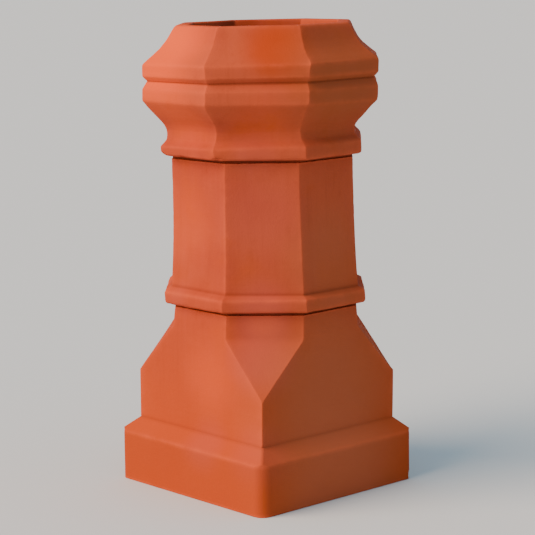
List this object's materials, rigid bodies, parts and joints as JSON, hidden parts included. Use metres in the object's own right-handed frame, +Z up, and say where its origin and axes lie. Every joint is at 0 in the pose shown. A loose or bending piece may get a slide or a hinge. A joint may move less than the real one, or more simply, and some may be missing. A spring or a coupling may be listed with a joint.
{
  "type": "chimney pot",
  "caption": "Hollow octagonal terracotta chimney pot with a grooved, flaring cap, a ring and broached corners on a square plinth, open at both ends to end a flue on a stack.",
  "frame": {"origin": "middle of the plinth's underside, on the axis of the flue", "axes": "+Z up along the flue towards the mouth; +X and +Y out of two of the plinth's four sides, which are also two of the octagon's eight"},
  "size_m": [0.37, 0.37, 0.75],
  "materials": {
    "terracotta": "matt unglazed red fired clay with faint mottling"
  },
  "bodies": {
    "root": {"chimney_pot": "terracotta"}
  },
  "joints": []
}
